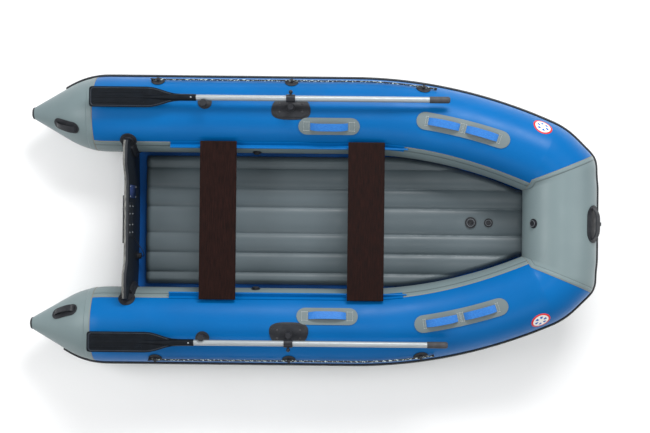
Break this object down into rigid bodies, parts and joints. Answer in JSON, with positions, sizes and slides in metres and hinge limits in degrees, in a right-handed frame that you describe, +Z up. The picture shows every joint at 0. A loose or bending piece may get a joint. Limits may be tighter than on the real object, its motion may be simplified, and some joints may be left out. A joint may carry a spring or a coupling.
{
  "type": "inflatable boat",
  "caption": "Inflatable rowing and motor boat with conical tube tails, ribbed air floor, plywood transom, sliding benches and swivelling oars stowed along the tubes.",
  "frame": {"origin": "on the ground under the middle of the boat's bounding box", "axes": "+X towards the bow, +Y to port, +Z up"},
  "size_m": [3.164, 1.628, 0.541],
  "materials": {
    "hull_blue": "satin",
    "hull_grey": "satin",
    "black_rubber": "satin",
    "black_plastic": "satin",
    "plate_grey": "satin",
    "transom_wood": "satin",
    "seat_wood": "satin",
    "runner_blue": "satin",
    "oar_aluminium": "satin",
    "black_rope": "matte",
    "blue_webbing": "matte"
  },
  "bodies": {
    "hull": {"port_side_tube": "hull_blue", "starboard_side_tube": "hull_blue", "port_bow_quarter": "hull_blue", "starboard_bow_quarter": "hull_blue", "hull_bottom": "hull_blue", "seat_rails": "hull_blue", "bow_tube": "hull_grey", "port_stern_cone": "hull_grey", "starboard_stern_cone": "hull_grey", "air_floor": "hull_grey", "grab_patches": "hull_grey", "cone_caps": "black_rubber", "cone_handles": "black_rubber", "rub_strake": "black_rubber", "keel_strip": "black_rubber", "transom_holders": "black_rubber", "lifeline_patches": "black_rubber", "oarlock_bases": "black_rubber", "oar_clips": "black_rubber", "bow_handle": "black_rubber", "floor_valve": "black_plastic", "relief_valve": "black_plastic", "side_valves": "black_plastic", "bow_valve": "black_plastic", "outer_motor_pad": "black_plastic", "drain_valve": "black_plastic", "inner_motor_plate": "plate_grey", "transom_board": "transom_wood", "lifelines": "black_rope", "grab_straps": "blue_webbing"},
    "aft_seat": {"aft_seat_board": "seat_wood", "aft_seat_runners": "runner_blue"},
    "forward_seat": {"forward_seat_board": "seat_wood", "forward_seat_runners": "runner_blue"},
    "port_oarlock": {"port_oarlock_head": "black_plastic"},
    "port_oar": {"port_oar_collar": "black_plastic", "port_oar_shaft": "oar_aluminium", "port_oar_blade": "black_plastic", "port_oar_grip": "black_plastic"},
    "starboard_oarlock": {"starboard_oarlock_head": "black_plastic"},
    "starboard_oar": {"starboard_oar_collar": "black_plastic", "starboard_oar_shaft": "oar_aluminium", "starboard_oar_blade": "black_plastic", "starboard_oar_grip": "black_plastic"}
  },
  "joints": [
    {"name": "aft_seat_slide", "type": "slide", "parent": "hull", "child": "aft_seat", "axis": [1, 0, 0], "range_m": [-0.155, 0.301]},
    {"name": "forward_seat_slide", "type": "slide", "parent": "hull", "child": "forward_seat", "axis": [1, 0, 0], "range_m": [-0.301, 0.04]},
    {"name": "port_oar_swing", "type": "hinge", "parent": "hull", "child": "port_oarlock", "pos_m": [-0.123, 0.616, 0.45], "axis": [0, 0, -1], "range_deg": [0, 115]},
    {"name": "port_oar_dip", "type": "hinge", "parent": "port_oarlock", "child": "port_oar", "pos_m": [-0.123, 0.661, 0.48], "axis": [0, -1, 0], "range_deg": [0, 16]},
    {"name": "starboard_oar_swing", "type": "hinge", "parent": "hull", "child": "starboard_oarlock", "pos_m": [-0.123, -0.616, 0.45], "axis": [0, 0, 1], "range_deg": [0, 115]},
    {"name": "starboard_oar_dip", "type": "hinge", "parent": "starboard_oarlock", "child": "starboard_oar", "pos_m": [-0.123, -0.661, 0.48], "axis": [0, -1, 0], "range_deg": [0, 20]}
  ],
  "couplings": [
    {"joint": "port_oar_dip", "follows": "port_oar_swing", "ratio": 0.139},
    {"joint": "starboard_oar_dip", "follows": "starboard_oar_swing", "ratio": 0.1739}
  ]
}
